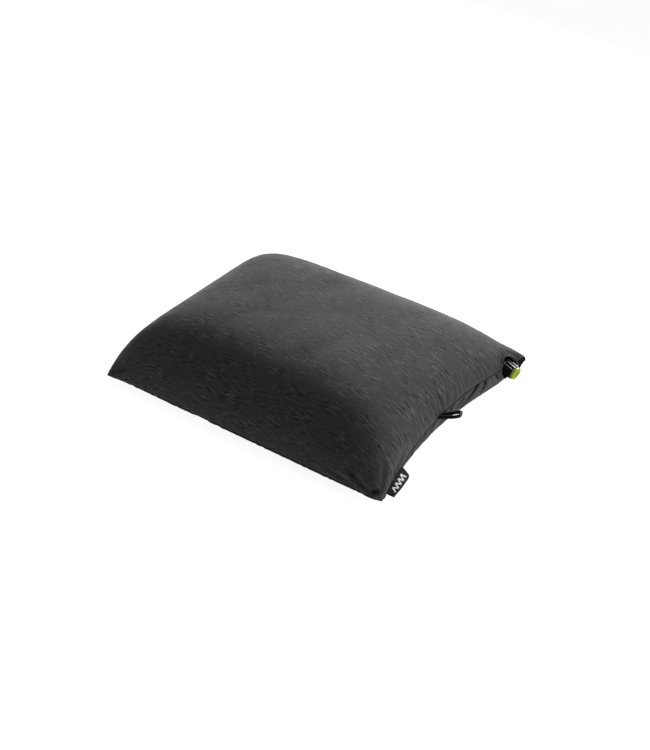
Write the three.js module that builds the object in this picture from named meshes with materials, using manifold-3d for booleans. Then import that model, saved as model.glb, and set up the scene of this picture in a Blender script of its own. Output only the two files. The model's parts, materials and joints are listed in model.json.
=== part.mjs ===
// An inflatable camp pillow. A removable stretch cover holds a foam topper on a baffled air cell, and the
// cell's push-to-release valve leaves the cover through a port beside one corner.
//
// Millimetres. +X runs along the pillow to the end with the valve, +Y runs across it to the valve's corner,
// +Z is up, and the origin is the middle of the flat underside. "Front" is the long side at -Y.
import * as THREE from "three";
import { LoftGeometry } from "three/addons/geometries/LoftGeometry.js";
import { mergeVertices } from "three/addons/utils/BufferGeometryUtils.js";
import Module from "manifold-3d";

const { degToRad: radians, lerp, smoothstep } = THREE.MathUtils;
const wasm = await Module();
wasm.setup();

// ---------------------------------------------------------------- driving dimensions

// The inflated pillow, from seam to seam and from floor to crown.
const LENGTH = 430;
const WIDTH = 294;
const HEIGHT = 101;

// How far the middle of each side is drawn in, as a share of the half length or half width.
const VALVE_END_PULL = 0.08;
const PLAIN_END_PULL = 0.065;
const SIDE_PULL = 0.005;

// Height of the cover's seam above the floor, at each corner and at the middle of each side.
const SEAM = {
  plainFront: 8,
  valveFront: 13,
  valveBack: 50,
  plainBack: 19,
  valveEnd: 48,
  plainEnd: 41,
  front: 10,
  back: 31,
};

// How square the pillow's swell is: higher numbers keep it full nearer the edge.
const LENGTHWISE_FULLNESS = 4.4;
const CROSSWISE_FULLNESS = 6.9;
const FRONT_FULLNESS = 3.4; // the crown rolls over more gently along the middle of its front
const CROWN_ROUNDING = 0.53;
const BELLY_ROUNDING = 0.39;
const BELLY_FLATNESS = 1.08; // over 1, so that the middle of the belly rests flat on the floor

const FABRIC = 1.0; // the cover's cloth with its nap
const FILM = 0.8; // the air cell's coated fabric
const GAP = 0.6; // clearance between two layers that touch
const SEAM_GAP = 0.35; // from the seam line to the layer above it, and to the one below

const CELL_INSET = 9; // from the cover's seam to the edge of the air cell
const CELL_CORNER = 24; // radius of the air cell's corners in plan
const CELL_FLANGE = 0.04; // width of the cell's welded edge, as a share of the half length
const CELL_CROWN = 66;
const CELL_FLOOR = 3.4; // above the two layers of the underside's overlap
const FOAM_INSET = 4;
const FOAM_TOP_GAP = 0.8;

// The envelope opening across the underside: a flap lies over the inside of the main panel.
const PANEL_EDGE = -0.22; // where the main panel ends, as a share of the half length
const FLAP_EDGE = 0.12; // where the flap ends
const FLAP_STEP = [-0.42, -0.27]; // where the flap steps up onto the main panel

const BAFFLE_ROWS = { front: -0.5, middle: 0, back: 0.5 }; // share of the half width
const BAFFLE_REACH = 0.7; // share of the half length
const BAFFLE_WEB = 1.2;
const BAFFLE_FLANGE = 14;
const BAFFLE_GAP = 2;

// The valve's place: where its neck leaves the cell, and which way it points.
const VALVE_AT = new THREE.Vector3(203, 121, 52);
const VALVE_DROOP = radians(14);
const VALVE_YAW = radians(-6);

// Valve radii and places along its axis, measured outwards from its shoulder.
const BORE_R = 4.6;
const NECK_R = 6.8;
const NECK_END = 11;
const THROAT_R = 3.6;
const SHOULDER_R = 9.6;
const FITMENT = { halfWidth: 13, halfThickness: 5.4, inner: -12, outer: -1.5 };
const RING_GROOVE = { r: 5.9, from: 3, to: 5 };
const RING_R = 0.42;
const COLLAR = { rootR: 10.4, tipR: 9.2, from: 0.4, shoulder: 12, tip: 16, spigotR: 7.0 };
const RIBS = { count: 14, depth: 0.9, points: 6, from: 2.2, to: 11.1 };
const COLLAR_BORE_R = 6.98;
const BUTTON = { r: 8.3, rim: 14.3, face: 20, roof: 18.3, cavityR: 7.3, dishR: 4.6 };
const BOSS = { r: 2.8, end: 13.5 };
const STEM_R = 1.3;
const STEM_CLEARANCE = 0.3;
const POPPET = { r: 5.4, top: -12.3, thickness: 1.3 };
const STEM_HEAD = { r: 2.3, thickness: 1 };
const STEM_TOP = 17;
const GUIDE = { hubR: 2.6, arms: 3, armWidth: 1.2, from: 7, to: 8.4 };
const SPRING = { r: 3.5, wire: 0.35, from: 8.9, to: 17.8, turns: 5 };

const PORT_R = 14; // the hole in the cover round the valve
const PORT_DEPTH = [-6, 40];
const BINDING = { outerR: 13.6, innerR: 12.4, from: -0.9, to: 3.6 };

// The hanging loop: an elastic cord doubled over, its tails held in the seam.
const CORD_R = 2.1;
const CORD_LOOP = { length: 27, halfWidth: 4.6, tail: 2.5, at: -0.06 };
const CORD_HOLE = { r: 6.4, depth: 7.4 }; // room for the tails as the loop swings
const CORD_TACK = { from: -6.6, to: -4.9, width: 8, thickness: 2.4 };
const CORD_RISE = radians(16);
const CORD_YAW = radians(22);

// The folded label beside the front corner.
const LABEL = { length: 42, reach: 12, tuck: 1.5, ply: 0.55, air: 0.5, at: -0.79 };
const LABEL_DROOP = radians(12);
const LABEL_SLOT = { depth: 5, thickness: 5 }; // room for the tucked edge as the label bends
const LABEL_TACK = { from: -4.2, to: -3, width: 40, thickness: 1.6 };

// ---------------------------------------------------------------- helpers

function span(from, to, steps) {
  return Array.from({ length: steps + 1 }, (_, i) => from + ((to - from) * i) / steps);
}

// A closed mesh as a manifold-3d solid, placed by a matrix.
function solid(geometry, matrix = new THREE.Matrix4()) {
  const loose = geometry.index ? geometry.toNonIndexed() : geometry;
  const bare = new THREE.BufferGeometry().setAttribute("position", loose.getAttribute("position").clone());
  const merged = mergeVertices(bare.applyMatrix4(matrix), 1e-4);
  return new wasm.Manifold(
    new wasm.Mesh({
      numProp: 3,
      vertProperties: merged.getAttribute("position").array,
      triVerts: new Uint32Array(merged.index.array),
    }),
  );
}

function geometryOf(manifold) {
  const { vertProperties, triVerts } = manifold.getMesh();
  const geometry = new THREE.BufferGeometry();
  geometry.setAttribute("position", new THREE.BufferAttribute(vertProperties, 3));
  geometry.setIndex(new THREE.BufferAttribute(triVerts, 1));
  geometry.computeVertexNormals();
  return geometry;
}

// A body turned round the Y axis from [radius, place along the axis] pairs, in rising order up its outside.
function turned(profile, segments = 36) {
  return new THREE.LatheGeometry(
    profile.map(([r, along]) => new THREE.Vector2(r, along)),
    segments,
  );
}

function cylinder(r, from, to, segments = 36) {
  return turned([[0, from], [r, from], [r, to], [0, to]], segments);
}

// ---------------------------------------------------------------- the pillow's layers

// A place on a layer is (u, v), each from -1 to 1 along the length and across the width.
function outline(u, v, inset) {
  const endPull = u > 0 ? VALVE_END_PULL : PLAIN_END_PULL;
  const x = (LENGTH / 2 - inset) * u * (1 - endPull * (1 - v * v));
  const y = (WIDTH / 2 - inset) * v * (1 - SIDE_PULL * (1 - u * u));
  return [x, y];
}

// The seam's height, carried smoothly across the pillow from its corners and the middles of its sides.
function seamHeight(u, v) {
  const valve = (1 + u) / 2;
  const back = (1 + v) / 2;
  const { plainFront, valveFront, valveBack, plainBack } = SEAM;
  const corners = lerp(lerp(plainFront, valveFront, valve), lerp(plainBack, valveBack, valve), back);
  const endBows =
    (SEAM.valveEnd - (valveFront + valveBack) / 2) * valve ** 2 +
    (SEAM.plainEnd - (plainFront + plainBack) / 2) * (1 - valve) ** 2;
  const sideBows =
    (SEAM.front - (plainFront + valveFront) / 2) * (1 - back) ** 2 +
    (SEAM.back - (plainBack + valveBack) / 2) * back ** 2;
  return corners + endBows * (1 - v * v) + sideBows * (1 - u * u);
}

// 0 along the seam, or over a welded edge, and 1 in the middle.
function swell(u, v, edge, frontFullness = CROSSWISE_FULLNESS) {
  const share = (t) => Math.min(1, Math.abs(t) / (1 - edge));
  const lengthwise = 1 - share(u) ** LENGTHWISE_FULLNESS;
  const fullness = v < 0 ? lerp(CROSSWISE_FULLNESS, frontFullness, lengthwise) : CROSSWISE_FULLNESS;
  return lengthwise * (1 - share(v) ** fullness);
}

// The two kinds of face: a crown rises from the seam, and a belly hangs from it to the floor.
function crown({ inset, height, rim = SEAM_GAP, edge = 0 }) {
  return (u, v) => {
    const start = seamHeight(u, v) + rim;
    const z = lerp(start, height, swell(u, v, edge, FRONT_FULLNESS) ** CROWN_ROUNDING);
    return new THREE.Vector3(...outline(u, v, inset), z);
  };
}

function belly({ inset, floor, rim = SEAM_GAP, edge = 0 }) {
  return (u, v) => {
    const drop = Math.min(1, BELLY_FLATNESS * swell(u, v, edge) ** BELLY_ROUNDING);
    const z = lerp(seamHeight(u, v) - rim, floor, drop);
    return new THREE.Vector3(...outline(u, v, inset), z);
  };
}

// Places along and across the pillow, closer together towards its edges.
const LENGTHWISE = span(-1, 1, 16).map((t) => Math.sin((t * Math.PI) / 2));
const CROSSWISE = span(-1, 1, 12).map((t) => Math.sin((t * Math.PI) / 2));

// A closed sheet between an upper and a lower face over the same places.
function sheet(us, vs, upper, lower) {
  const layer = us.length * vs.length;
  const points = [upper, lower].flatMap((face) => us.flatMap((u) => vs.map((v) => face(u, v))));
  const index = [];
  const at = (i, j, face) => face * layer + i * vs.length + j;
  const quad = (a, b, c, d) => index.push(a, b, c, a, c, d);
  for (let i = 0; i + 1 < us.length; i++)
    for (let j = 0; j + 1 < vs.length; j++) {
      quad(at(i, j, 0), at(i + 1, j, 0), at(i + 1, j + 1, 0), at(i, j + 1, 0));
      quad(at(i, j, 1), at(i, j + 1, 1), at(i + 1, j + 1, 1), at(i + 1, j, 1));
    }
  const lastU = us.length - 1;
  const lastV = vs.length - 1;
  for (let i = 0; i < lastU; i++) {
    quad(at(i, 0, 0), at(i, 0, 1), at(i + 1, 0, 1), at(i + 1, 0, 0));
    quad(at(i, lastV, 0), at(i + 1, lastV, 0), at(i + 1, lastV, 1), at(i, lastV, 1));
  }
  for (let j = 0; j < lastV; j++) {
    quad(at(0, j, 0), at(0, j + 1, 0), at(0, j + 1, 1), at(0, j, 1));
    quad(at(lastU, j, 0), at(lastU, j, 1), at(lastU, j + 1, 1), at(lastU, j + 1, 0));
  }
  const geometry = new THREE.BufferGeometry().setFromPoints(points);
  geometry.setIndex(index);
  geometry.computeVertexNormals();
  return geometry;
}

// ---------------------------------------------------------------- materials and the assembly

function plain(color, roughness, metalness = 0) {
  return new THREE.MeshStandardMaterial({ color, roughness, metalness });
}

const JERSEY = plain(0x4a4a4c, 0.9);
const UNDERSIDE = plain(0x333336, 0.8);
const WEBBING = plain(0x0b0b0c, 0.75);
const THREAD = plain(0x17171a, 0.6);
const FOAM = plain(0xd9d6c8, 0.95);
const COATED_FABRIC = plain(0x6f7377, 0.6);
const BLACK_PLASTIC = plain(0x0c0c0d, 0.35);
const GREEN_PLASTIC = plain(0xa3b51f, 0.4);
const RUBBER = plain(0x1b1b1d, 0.7);
const STEEL = plain(0xb9bcc0, 0.3, 1);

const pillow = new THREE.Group();
const valve = new THREE.Group();
pillow.add(valve);

function place(group, name, geometry, material) {
  const mesh = new THREE.Mesh(geometry, material);
  mesh.name = name;
  group.add(mesh);
  return mesh;
}

// The valve's group has its own +Y pointing out of the valve, and its +Z as near to up as that allows.
function aimValve() {
  const out = new THREE.Vector3(1, 0, 0).applyEuler(new THREE.Euler(0, VALVE_DROOP, VALVE_YAW, "ZYX"));
  const side = new THREE.Vector3().crossVectors(out, new THREE.Vector3(0, 0, 1)).normalize();
  const up = new THREE.Vector3().crossVectors(side, out);
  valve.quaternion.setFromRotationMatrix(new THREE.Matrix4().makeBasis(side, out, up));
  valve.position.copy(VALVE_AT);
  valve.updateMatrixWorld(true);
}

// ---------------------------------------------------------------- cover

// Where the cover's seam lies at (1, v), and its direction towards +Y there.
function endSeam(v) {
  const at = (w) => new THREE.Vector3(...outline(1, w, 0), seamHeight(1, w));
  const tangent = at(v + 0.02).sub(at(v - 0.02)).normalize();
  return { at: at(v), tangent };
}

// X points along the loop, Y across it and Z is square to its plane.
function cordFrame() {
  const out = new THREE.Vector3(1, 0, 0).applyEuler(new THREE.Euler(0, -CORD_RISE, CORD_YAW, "ZYX"));
  const side = new THREE.Vector3().crossVectors(new THREE.Vector3(0, 0, 1), out).normalize();
  const up = new THREE.Vector3().crossVectors(out, side);
  return new THREE.Matrix4().makeBasis(out, side, up).setPosition(endSeam(CORD_LOOP.at).at);
}

// X points out of the seam, Y runs along it and Z is the label's face.
function labelFrame() {
  const { at, tangent } = endSeam(LABEL.at);
  const out = new THREE.Vector3().crossVectors(tangent, new THREE.Vector3(0, 0, 1)).normalize();
  out.applyAxisAngle(tangent, LABEL_DROOP);
  const face = new THREE.Vector3().crossVectors(out, tangent);
  return new THREE.Matrix4().makeBasis(out, tangent, face).setPosition(at);
}

// Everything that passes through the cover: the valve's port, the cord's hole and the label's slot.
function coverOpenings() {
  const port = solid(cylinder(PORT_R, ...PORT_DEPTH, 32), valve.matrixWorld);
  const cordHole = cylinder(CORD_HOLE.r, -CORD_HOLE.depth, CORD_LOOP.length, 12).rotateZ(-Math.PI / 2);
  const { depth, thickness } = LABEL_SLOT;
  const slot = new THREE.BoxGeometry(depth + LABEL.reach, LABEL.length + 2 * GAP, thickness);
  slot.translate((LABEL.reach - depth) / 2, 0, 0);
  return port.add(solid(cordHole, cordFrame())).add(solid(slot, labelFrame()));
}

function buildCover(openings) {
  const top = sheet(
    LENGTHWISE,
    CROSSWISE,
    crown({ inset: 0, height: HEIGHT }),
    crown({ inset: FABRIC, height: HEIGHT - FABRIC }),
  );
  place(pillow, "cover_top", geometryOf(solid(top).subtract(openings)), JERSEY);

  const main = sheet(
    [PANEL_EDGE, ...LENGTHWISE.filter((u) => u > PANEL_EDGE + 0.02)],
    CROSSWISE,
    belly({ inset: FABRIC, floor: FABRIC }),
    belly({ inset: 0, floor: 0 }),
  );
  place(pillow, "underside_panel", geometryOf(solid(main).subtract(openings)), UNDERSIDE);

  // The flap's edges draw in and its middle rises where it lies over the main panel.
  const lift = (u) => (FABRIC + GAP) * smoothstep(u, ...FLAP_STEP);
  const face = (depth) => (u, v) => belly({ inset: depth + lift(u), floor: depth + lift(u) })(u, v);
  const places = [...LENGTHWISE.filter((u) => u < FLAP_EDGE - 0.02), ...FLAP_STEP, FLAP_EDGE];
  const flap = sheet(places.sort((a, b) => a - b), CROSSWISE, face(FABRIC), face(0));
  place(pillow, "underside_flap", flap, UNDERSIDE);
}

// A bound hem round the port, just inside the cut edge of the cover.
function buildPortBinding() {
  const { outerR, innerR, from, to } = BINDING;
  const ring = turned([[innerR, from], [outerR, from], [outerR, to], [innerR, to], [innerR, from]], 32);
  place(valve, "port_binding", ring, WEBBING);
}

// An elastic cord doubled into a teardrop, its two tails stitched into the seam.
function buildCordLoop() {
  const { length, halfWidth, tail } = CORD_LOOP;
  const beside = CORD_R + 0.35;
  const half = [
    [-tail, beside],
    [0, beside],
    [0.3 * length, 0.75 * halfWidth],
    [0.68 * length, halfWidth],
    [0.92 * length, 0.62 * halfWidth],
  ];
  const end = [length - CORD_R, 0];
  const mirrored = half.map(([x, y]) => [x, -y]).reverse();
  const points = [...half, end, ...mirrored].map(([x, y]) => new THREE.Vector3(x, y, 0));
  const path = new THREE.CatmullRomCurve3(points);
  const section = new THREE.Shape().absarc(0, 0, CORD_R, 0, 2 * Math.PI);
  const loop = new THREE.ExtrudeGeometry(section, { steps: 30, curveSegments: 4, extrudePath: path });
  const mesh = place(pillow, "cord_loop", loop, WEBBING);
  cordFrame().decompose(mesh.position, mesh.quaternion, mesh.scale);
}

// A woven strip folded in half, its raw ends tucked into the seam.
function buildSideLabel() {
  const { length, reach, tuck, ply, air } = LABEL;
  const outer = ply + air / 2;
  const inner = air / 2;
  const fold = new THREE.Shape();
  fold.moveTo(-tuck, -outer);
  fold.lineTo(reach - outer, -outer);
  fold.absarc(reach - outer, 0, outer, -Math.PI / 2, Math.PI / 2);
  fold.lineTo(-tuck, outer);
  fold.lineTo(-tuck, inner);
  fold.lineTo(reach - outer, inner);
  fold.absarc(reach - outer, 0, inner, Math.PI / 2, -Math.PI / 2, true);
  fold.lineTo(-tuck, -inner);
  const strip = new THREE.ExtrudeGeometry(fold, { depth: length, bevelEnabled: false, curveSegments: 6 });
  strip.translate(0, 0, -length / 2).rotateX(Math.PI / 2);
  const mesh = place(pillow, "side_label", strip, WEBBING);
  labelFrame().decompose(mesh.position, mesh.quaternion, mesh.scale);
}

// A row of locked stitches in the seam allowance, which holds the loop's tails or the label's raw ends.
function buildTack(name, frame, { from, to, width, thickness }) {
  const tack = new THREE.BoxGeometry(to - from, width, thickness).translate((from + to) / 2, 0, 0);
  const mesh = place(pillow, name, tack, THREAD);
  frame.decompose(mesh.position, mesh.quaternion, mesh.scale);
}

// ---------------------------------------------------------------- air cell and foam

const CELL_RIM = { rim: SEAM_GAP, edge: CELL_FLANGE };

// The air cell's plan, with rounded corners, as an upright prism.
function cellPlan() {
  const x = LENGTH / 2 - CELL_INSET + 1;
  const y = WIDTH / 2 - CELL_INSET + 1;
  const r = CELL_CORNER;
  const plan = new THREE.Shape();
  plan.absarc(x - r, y - r, r, 0, Math.PI / 2);
  plan.absarc(r - x, y - r, r, Math.PI / 2, Math.PI);
  plan.absarc(r - x, r - y, r, Math.PI, 1.5 * Math.PI);
  plan.absarc(x - r, r - y, r, 1.5 * Math.PI, 2 * Math.PI);
  return solid(new THREE.ExtrudeGeometry(plan, { depth: HEIGHT, bevelEnabled: false, curveSegments: 5 }));
}

// The notch in the air cell for the fitment, the poppet's travel and the port, with room round them.
function fitmentClearance() {
  const poppetRoom = cylinder(POPPET.r + GAP, POPPET.top - 5, FITMENT.inner + 1, 24);
  const portRoom = cylinder(PORT_R + GAP, FITMENT.outer, PORT_DEPTH[1], 24);
  const parts = [fitmentBody(GAP), poppetRoom, portRoom];
  return parts.map((part) => solid(part, valve.matrixWorld)).reduce((all, part) => all.add(part));
}

function buildAirCell() {
  const rim = SEAM_GAP + FILM;
  const upper = sheet(
    LENGTHWISE,
    CROSSWISE,
    crown({ inset: CELL_INSET, height: CELL_CROWN, rim, edge: CELL_FLANGE }),
    crown({ inset: CELL_INSET + FILM, height: CELL_CROWN - FILM, ...CELL_RIM }),
  );
  const lower = sheet(
    LENGTHWISE,
    CROSSWISE,
    belly({ inset: CELL_INSET + FILM, floor: CELL_FLOOR + FILM, ...CELL_RIM }),
    belly({ inset: CELL_INSET, floor: CELL_FLOOR, rim, edge: CELL_FLANGE }),
  );
  const plan = cellPlan();
  const notch = fitmentClearance();
  const trimmed = (part) => geometryOf(solid(part).intersect(plan).subtract(notch));
  place(pillow, "cell_top_sheet", trimmed(upper), COATED_FABRIC);
  place(pillow, "cell_bottom_sheet", trimmed(lower), COATED_FABRIC);
}

// Each baffle is an I-beam of film that ties the cell's two sheets together and stops short of its ends.
function buildBaffle(name, row) {
  const inset = CELL_INSET + FILM;
  const high = (drop) => (u, v) => {
    const point = crown({ inset, height: CELL_CROWN - FILM, ...CELL_RIM })(u, v);
    return point.setZ(point.z - drop);
  };
  const low = (rise) => (u, v) => {
    const point = belly({ inset, floor: CELL_FLOOR + FILM, ...CELL_RIM })(u, v);
    return point.setZ(point.z + rise);
  };
  const places = LENGTHWISE.filter((u) => Math.abs(u) < BAFFLE_REACH);
  const across = (width) => [row - width / (WIDTH - 2 * inset), row + width / (WIDTH - 2 * inset)];
  const bite = FILM / 2;
  const web = sheet(places, across(BAFFLE_WEB), high(BAFFLE_GAP + bite), low(BAFFLE_GAP + bite));
  const topFlange = sheet(places, across(BAFFLE_FLANGE), high(BAFFLE_GAP), high(BAFFLE_GAP + FILM));
  const bottomFlange = sheet(places, across(BAFFLE_FLANGE), low(BAFFLE_GAP + FILM), low(BAFFLE_GAP));
  place(pillow, name, geometryOf(solid(web).add(solid(topFlange)).add(solid(bottomFlange))), COATED_FABRIC);
}

function buildFoamTopper() {
  const places = LENGTHWISE.slice(2, -2);
  const across = CROSSWISE.slice(2, -2);
  const top = crown({ inset: FOAM_INSET, height: HEIGHT - FABRIC - FOAM_TOP_GAP });
  const underneath = crown({
    inset: CELL_INSET,
    height: CELL_CROWN + GAP,
    rim: SEAM_GAP + FILM + GAP,
    edge: CELL_FLANGE,
  });
  place(pillow, "foam_topper", sheet(places, across, top, underneath), FOAM);
}

// ---------------------------------------------------------------- valve, in its own frame along +Y

// The boat-shaped fitment that is welded between the cell's sheets.
function fitmentBody(extra = 0) {
  const { halfWidth, halfThickness, inner, outer } = FITMENT;
  const boat = new THREE.Shape();
  boat.moveTo(-halfWidth - extra, 0);
  boat.quadraticCurveTo(0, -2 * (halfThickness + extra), halfWidth + extra, 0);
  boat.quadraticCurveTo(0, 2 * (halfThickness + extra), -halfWidth - extra, 0);
  const geometry = new THREE.ExtrudeGeometry(boat, {
    depth: outer - inner + 2 * extra,
    bevelEnabled: false,
    curveSegments: 10,
  });
  return geometry.translate(0, 0, -outer - extra).rotateX(Math.PI / 2);
}

function buildValveBase() {
  const { inner } = FITMENT;
  const neck = turned([
    [0, -3],
    [NECK_R, -3],
    [SHOULDER_R, -1.2],
    [SHOULDER_R, 0],
    [NECK_R, 0],
    [NECK_R, RING_GROOVE.from],
    [RING_GROOVE.r, RING_GROOVE.from],
    [RING_GROOVE.r, RING_GROOVE.to],
    [NECK_R, RING_GROOVE.to],
    [NECK_R, NECK_END],
    [0, NECK_END],
  ]);
  const bore = turned([
    [0, inner - 1],
    [THROAT_R, inner - 1],
    [THROAT_R, inner + 3],
    [BORE_R, inner + 4],
    [BORE_R, NECK_END + 1],
    [0, NECK_END + 1],
  ]);
  const body = solid(fitmentBody()).add(solid(neck)).subtract(solid(bore));
  place(valve, "valve_base", geometryOf(body.add(stemGuide())), BLACK_PLASTIC);
}

// A hub on thin arms across the neck's bore, which the stem slides through.
function stemGuide() {
  const { hubR, arms, armWidth, from, to } = GUIDE;
  const reach = BORE_R + 0.4;
  let guide = solid(cylinder(hubR, from, to, 24));
  for (const angle of span(0, 2 * Math.PI, arms).slice(1)) {
    const arm = new THREE.BoxGeometry(reach, to - from, armWidth).translate(reach / 2, (from + to) / 2, 0);
    guide = guide.add(solid(arm.rotateY(angle)));
  }
  return guide.subtract(solid(cylinder(STEM_R + STEM_CLEARANCE, from - 1, to + 1, 24)));
}

function buildNeckSealRing() {
  const { r, from, to } = RING_GROOVE;
  const ring = new THREE.TorusGeometry(r + RING_R + 0.06, RING_R, 6, 36);
  place(valve, "neck_seal_ring", ring.rotateX(Math.PI / 2).translate(0, (from + to) / 2, 0), RUBBER);
}

// A tapered grip with rounded ribs along it, and a plain spigot that the button slides over.
function buildTwistCollar() {
  const { rootR, tipR, from, shoulder, tip, spigotR } = COLLAR;
  const chamfer = 0.5;
  const angles = span(0, 2 * Math.PI, RIBS.count * RIBS.points).slice(1);
  const ring = (r, along, depth) =>
    angles.map((angle) => {
      const groove = (1 - Math.cos(angle * RIBS.count)) / 2;
      const reach = r - depth * groove ** 2;
      return new THREE.Vector3(reach * Math.cos(angle), along, -reach * Math.sin(angle));
    });
  const sections = [
    ring(rootR - chamfer, from, 0),
    ring(rootR, from + chamfer, 0),
    ring(rootR, RIBS.from, RIBS.depth),
    ring(tipR, RIBS.to, RIBS.depth),
    ring(tipR - chamfer, shoulder, 0),
  ];
  const grip = new LoftGeometry(sections, { capStart: true, capEnd: true });
  const step = NECK_END + 0.3;
  const springRoomR = SPRING.r + SPRING.wire + 0.6;
  const bore = turned([
    [0, from - 1],
    [COLLAR_BORE_R, from - 1],
    [COLLAR_BORE_R, step],
    [springRoomR, step],
    [springRoomR, tip + 1],
    [0, tip + 1],
  ]);
  const body = solid(grip).add(solid(cylinder(spigotR, shoulder - 1, tip))).subtract(solid(bore));
  place(valve, "twist_collar", geometryOf(body), BLACK_PLASTIC);
}

// The green push button: a cap over the collar's spigot, with a boss for the stem and a dished face.
function buildReleaseButton() {
  const { r, rim, face, roof, cavityR, dishR } = BUTTON;
  const cap = turned([
    [0, rim],
    [r - 0.3, rim],
    [r, rim + 0.3],
    [r, face - 0.9],
    [r - 0.35, face - 0.25],
    [r - 1.1, face],
    [dishR, face],
    [dishR - 0.6, face - 0.5],
    [0, face - 0.7],
  ]);
  const cavity = cylinder(cavityR, rim - 1, roof);
  const boss = cylinder(BOSS.r, BOSS.end, roof + 0.5, 24);
  const socket = cylinder(STEM_R + STEM_CLEARANCE, BOSS.end - 1, STEM_TOP + STEM_CLEARANCE, 24);
  const body = solid(cap).subtract(solid(cavity)).add(solid(boss)).subtract(solid(socket));
  place(valve, "release_button", geometryOf(body), GREEN_PLASTIC);
}

// The stem runs from the button through the guide to the poppet, and its head holds the poppet on.
function buildStemAndPoppet() {
  const under = POPPET.top - POPPET.thickness;
  const headTop = under - STEM_CLEARANCE;
  const stem = turned(
    [
      [0, headTop - STEM_HEAD.thickness],
      [STEM_HEAD.r, headTop - STEM_HEAD.thickness],
      [STEM_HEAD.r, headTop],
      [STEM_R, headTop],
      [STEM_R, STEM_TOP],
      [0, STEM_TOP],
    ],
    20,
  );
  place(valve, "valve_stem", stem, BLACK_PLASTIC);
  const hole = STEM_R + STEM_CLEARANCE;
  const poppet = turned(
    [
      [hole, under],
      [POPPET.r - 0.8, under],
      [POPPET.r, under + 0.8],
      [POPPET.r, POPPET.top],
      [hole, POPPET.top],
      [hole, under],
    ],
    32,
  );
  place(valve, "poppet_seal", poppet, RUBBER);
}

class Helix extends THREE.Curve {
  getPoint(t, target = new THREE.Vector3()) {
    const angle = 2 * Math.PI * SPRING.turns * t;
    const along = SPRING.from + SPRING.wire + (SPRING.to - SPRING.from - 2 * SPRING.wire) * t;
    return target.set(SPRING.r * Math.cos(angle), along, SPRING.r * Math.sin(angle));
  }
}

function buildReturnSpring() {
  const wire = new THREE.Shape().absarc(0, 0, SPRING.wire, 0, 2 * Math.PI);
  const steps = SPRING.turns * 12;
  const coil = new THREE.ExtrudeGeometry(wire, { steps, curveSegments: 3, extrudePath: new Helix() });
  place(valve, "return_spring", coil, STEEL);
}

// ---------------------------------------------------------------- put together

aimValve();
buildCover(coverOpenings());
buildPortBinding();
buildCordLoop();
buildTack("loop_tack", cordFrame(), CORD_TACK);
buildSideLabel();
buildTack("label_tack", labelFrame(), LABEL_TACK);
buildAirCell();
for (const [row, v] of Object.entries(BAFFLE_ROWS)) buildBaffle(`baffle_${row}`, v);
buildFoamTopper();
buildValveBase();
buildNeckSealRing();
buildTwistCollar();
buildReleaseButton();
buildStemAndPoppet();
buildReturnSpring();

export default pillow;
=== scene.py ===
import json
import math

import bmesh
import bpy
import numpy as np
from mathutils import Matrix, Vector


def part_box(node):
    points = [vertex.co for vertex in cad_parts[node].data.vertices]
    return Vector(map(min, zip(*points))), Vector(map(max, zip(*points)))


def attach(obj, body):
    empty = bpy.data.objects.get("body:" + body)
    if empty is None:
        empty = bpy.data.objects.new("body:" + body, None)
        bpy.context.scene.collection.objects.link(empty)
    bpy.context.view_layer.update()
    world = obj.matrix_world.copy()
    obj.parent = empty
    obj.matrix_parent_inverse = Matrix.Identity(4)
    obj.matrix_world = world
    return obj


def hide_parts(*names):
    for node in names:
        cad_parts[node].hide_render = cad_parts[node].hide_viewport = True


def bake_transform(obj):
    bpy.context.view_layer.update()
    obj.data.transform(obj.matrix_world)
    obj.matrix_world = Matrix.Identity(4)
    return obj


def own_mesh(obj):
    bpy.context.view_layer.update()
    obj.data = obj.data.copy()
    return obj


# The looks of an inflatable camp pillow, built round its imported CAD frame. Metres, +X along the pillow to the
# valve's end, +Y across it to the valve's corner, +Z up, with the origin on the floor under the middle.
# A place on the cover is (u, v), each from -1 to 1 along and across, on the crown or on the belly.

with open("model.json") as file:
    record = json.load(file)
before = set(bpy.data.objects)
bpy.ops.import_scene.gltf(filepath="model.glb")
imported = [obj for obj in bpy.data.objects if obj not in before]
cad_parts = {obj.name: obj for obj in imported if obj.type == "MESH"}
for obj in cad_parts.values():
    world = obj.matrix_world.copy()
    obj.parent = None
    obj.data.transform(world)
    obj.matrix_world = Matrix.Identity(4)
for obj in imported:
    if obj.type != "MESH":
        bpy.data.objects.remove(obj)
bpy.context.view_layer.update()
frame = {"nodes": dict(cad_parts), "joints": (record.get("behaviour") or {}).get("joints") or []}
joints = {joint["name"]: joint for joint in frame["joints"]}

MM = 0.001
TINY = 1e-12  # keeps a division clear of nought
SEED = 7

# ---- the cover's shape, as in the CAD

cover_low, cover_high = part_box("cover_top")
LENGTH = cover_high.x - cover_low.x
WIDTH = cover_high.y - cover_low.y
HEIGHT = cover_high.z

VALVE_END_PULL = 0.08
PLAIN_END_PULL = 0.065
SIDE_PULL = 0.005
SEAM = {
    "plain_front": 8 * MM,
    "valve_front": 13 * MM,
    "valve_back": 50 * MM,
    "plain_back": 19 * MM,
    "valve_end": 48 * MM,
    "plain_end": 41 * MM,
    "front": 10 * MM,
    "back": 31 * MM,
}
LENGTHWISE_FULLNESS = 4.4
CROSSWISE_FULLNESS = 6.9
FRONT_FULLNESS = 3.4  # the crown rolls over more gently along the middle of its front
CROWN_ROUNDING = 0.53
BELLY_ROUNDING = 0.39
BELLY_FLATNESS = 1.08  # above 1, so that the middle of the belly rests on the floor

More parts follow.
